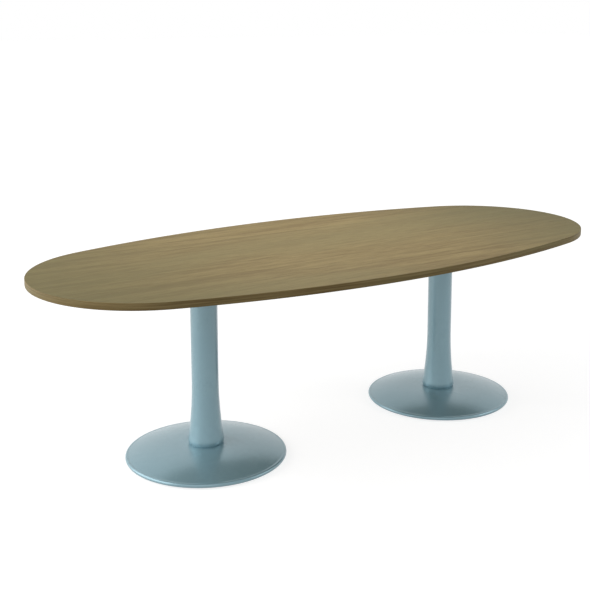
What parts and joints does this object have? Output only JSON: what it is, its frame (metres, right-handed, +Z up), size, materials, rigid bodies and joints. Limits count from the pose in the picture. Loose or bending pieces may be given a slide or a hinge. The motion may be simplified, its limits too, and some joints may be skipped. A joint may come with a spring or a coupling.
{
  "type": "conference table",
  "caption": "Long oval conference table: a thin wood-effect top on two round trumpet columns with domed disc bases, which stand on levelling glides.",
  "frame": {"origin": "on the floor, under the middle of the top", "axes": "+X along the length of the top, +Y across it, +Z up"},
  "size_m": [2.4, 1.08, 0.74],
  "materials": {
    "wood_laminate": "matt wood-effect laminate, long straight grain along the table",
    "wood_band": "matt wood-effect edge band, a little darker than the top",
    "chipboard": "raw chipboard",
    "blue_grey_paint": "satin powder coat, pale blue-grey with a fine metallic cast",
    "cast_ballast": "rough casting, dipped black",
    "alloy_casting": "sand cast, bare",
    "zinc_plate": "zinc plated",
    "brass": "turned brass",
    "nylon": "moulded black nylon"
  },
  "bodies": {
    "table": {"board_core": "chipboard", "top_laminate": "wood_laminate", "backing_laminate": "wood_laminate", "edge_band": "wood_band", "left_base_cover": "blue_grey_paint", "left_ballast_plate": "cast_ballast", "left_column_tube": "blue_grey_paint", "left_centring_disc": "zinc_plate", "left_spider": "alloy_casting", "left_tie_rod": "zinc_plate", "left_tie_nut": "zinc_plate", "left_tie_washer": "zinc_plate", "left_board_screw_1": "zinc_plate", "left_board_insert_1": "brass", "left_board_screw_2": "zinc_plate", "left_board_insert_2": "brass", "left_board_screw_3": "zinc_plate", "left_board_insert_3": "brass", "left_board_screw_4": "zinc_plate", "left_board_insert_4": "brass", "right_base_cover": "blue_grey_paint", "right_ballast_plate": "cast_ballast", "right_column_tube": "blue_grey_paint", "right_centring_disc": "zinc_plate", "right_spider": "alloy_casting", "right_tie_rod": "zinc_plate", "right_tie_nut": "zinc_plate", "right_tie_washer": "zinc_plate", "right_board_screw_1": "zinc_plate", "right_board_insert_1": "brass", "right_board_screw_2": "zinc_plate", "right_board_insert_2": "brass", "right_board_screw_3": "zinc_plate", "right_board_insert_3": "brass", "right_board_screw_4": "zinc_plate", "right_board_insert_4": "brass"},
    "left_glide_1": {"left_glide_foot_1": "nylon", "left_glide_stud_1": "zinc_plate"},
    "left_glide_2": {"left_glide_foot_2": "nylon", "left_glide_stud_2": "zinc_plate"},
    "left_glide_3": {"left_glide_foot_3": "nylon", "left_glide_stud_3": "zinc_plate"},
    "left_glide_4": {"left_glide_foot_4": "nylon", "left_glide_stud_4": "zinc_plate"},
    "right_glide_1": {"right_glide_foot_1": "nylon", "right_glide_stud_1": "zinc_plate"},
    "right_glide_2": {"right_glide_foot_2": "nylon", "right_glide_stud_2": "zinc_plate"},
    "right_glide_3": {"right_glide_foot_3": "nylon", "right_glide_stud_3": "zinc_plate"},
    "right_glide_4": {"right_glide_foot_4": "nylon", "right_glide_stud_4": "zinc_plate"}
  },
  "joints": [
    {"name": "left_glide_1_travel", "type": "slide", "parent": "table", "child": "left_glide_1", "axis": [0, 0, -1], "range_m": [0, 0.01]},
    {"name": "left_glide_2_travel", "type": "slide", "parent": "table", "child": "left_glide_2", "axis": [0, 0, -1], "range_m": [0, 0.01]},
    {"name": "left_glide_3_travel", "type": "slide", "parent": "table", "child": "left_glide_3", "axis": [0, 0, -1], "range_m": [0, 0.01]},
    {"name": "left_glide_4_travel", "type": "slide", "parent": "table", "child": "left_glide_4", "axis": [0, 0, -1], "range_m": [0, 0.01]},
    {"name": "right_glide_1_travel", "type": "slide", "parent": "table", "child": "right_glide_1", "axis": [0, 0, -1], "range_m": [0, 0.01]},
    {"name": "right_glide_2_travel", "type": "slide", "parent": "table", "child": "right_glide_2", "axis": [0, 0, -1], "range_m": [0, 0.01]},
    {"name": "right_glide_3_travel", "type": "slide", "parent": "table", "child": "right_glide_3", "axis": [0, 0, -1], "range_m": [0, 0.01]},
    {"name": "right_glide_4_travel", "type": "slide", "parent": "table", "child": "right_glide_4", "axis": [0, 0, -1], "range_m": [0, 0.01]}
  ]
}
